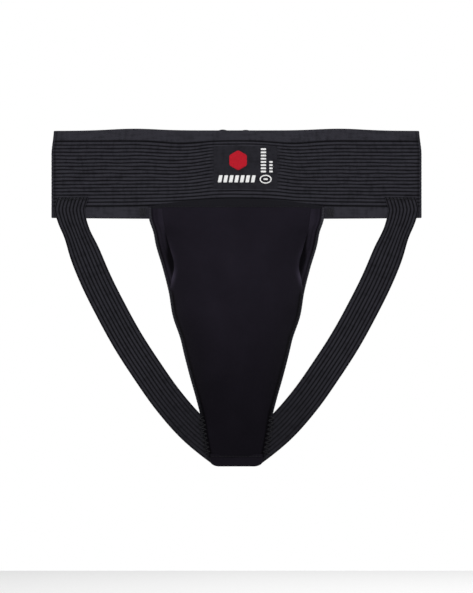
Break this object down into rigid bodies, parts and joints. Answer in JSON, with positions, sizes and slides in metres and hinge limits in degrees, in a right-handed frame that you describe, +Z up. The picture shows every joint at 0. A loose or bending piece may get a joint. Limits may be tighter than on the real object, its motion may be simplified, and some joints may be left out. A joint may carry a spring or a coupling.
{
  "type": "groin protector",
  "caption": "Athletic groin protector: ribbed elastic waistband, knitted pouch with a removable vented cup, and two elastic leg straps.",
  "frame": {"origin": "middle of the waist opening, level with the waistband's lower edge", "axes": "+X to the wearer's left as seen from the front, -Y to the front, +Z up through the waist opening"},
  "size_m": [0.32, 0.0857, 0.2907],
  "materials": {
    "waistband_elastic": "ribbed woven elastic, matt",
    "pouch_knit": "fine smooth knit, matt",
    "strap_elastic": "ribbed woven elastic, matt",
    "binding": "folded woven tape",
    "black_thread": "polyester thread",
    "label_fabric": "plain woven label ground",
    "red_thread": "satin stitched thread",
    "white_thread": "satin stitched thread",
    "cup_plastic": "moulded polypropylene, fine grain",
    "cup_gasket": "soft moulded rubber"
  },
  "bodies": {
    "waistband": {"waistband_elastic": "waistband_elastic", "waistband_join_stitching": "black_thread", "label_patch": "label_fabric", "label_emblem": "red_thread", "label_bars": "white_thread", "pouch_seam_tape": "pouch_knit", "pouch_seam_stitching": "black_thread", "seam_bar_tack_left": "black_thread", "seam_bar_tack_right": "black_thread", "strap_anchor_left": "strap_elastic", "strap_anchor_right": "strap_elastic", "strap_anchor_stitching_left": "black_thread", "strap_anchor_stitching_right": "black_thread"},
    "pouch": {"pouch_front_panel": "pouch_knit", "pouch_side_panel_left": "pouch_knit", "pouch_side_panel_right": "pouch_knit", "edge_binding_left": "binding", "edge_binding_right": "binding", "pocket_lining": "pouch_knit", "pocket_mouth_elastic": "binding", "pouch_toe_hem": "pouch_knit", "leg_strap_left": "strap_elastic", "leg_strap_right": "strap_elastic", "strap_zigzag_left": "black_thread", "strap_zigzag_right": "black_thread"},
    "cup": {"cup_shell": "cup_plastic", "cup_rim_gasket": "cup_gasket"}
  },
  "joints": [
    {"name": "pouch_swing", "type": "hinge", "parent": "waistband", "child": "pouch", "pos_m": [0, -0.033, 0], "axis": [1, 0, 0], "range_deg": [-20, 25]},
    {"name": "cup_slide", "type": "slide", "parent": "pouch", "child": "cup", "axis": [0, 0.1736, 0.9848], "range_m": [0, 0.27]}
  ]
}
